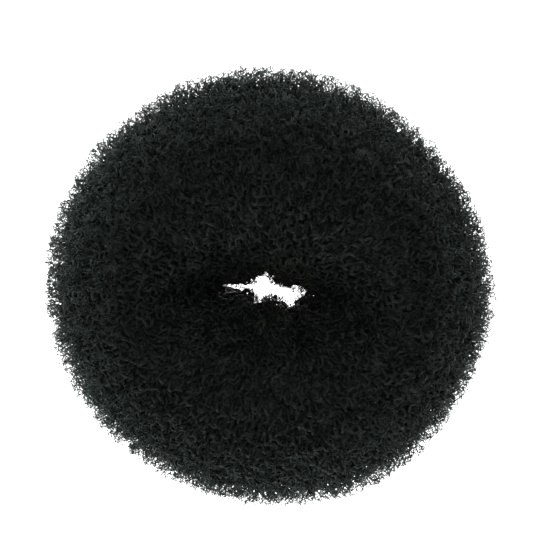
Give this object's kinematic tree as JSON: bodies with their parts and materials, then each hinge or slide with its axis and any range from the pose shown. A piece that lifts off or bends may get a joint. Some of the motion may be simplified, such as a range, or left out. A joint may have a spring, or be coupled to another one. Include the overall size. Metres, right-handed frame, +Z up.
{
  "type": "hair donut bun maker",
  "caption": "Soft ring of crimped open net, rolled up from one sleeve round a narrow slit-shaped hole; a ponytail goes through the hole and is wound round the ring as a bun.",
  "frame": {"origin": "middle of the bounding box's bottom face, on the surface that the ring lies on", "axes": "+Z up along the hole, +X along the slit of the hole, +Y to the top of the picture"},
  "size_m": [0.089, 0.0884, 0.037],
  "materials": {
    "net": "black crimped nylon net, matt with small glints"
  },
  "bodies": {
    "root": {"rolled_sleeve": "net"}
  },
  "joints": []
}
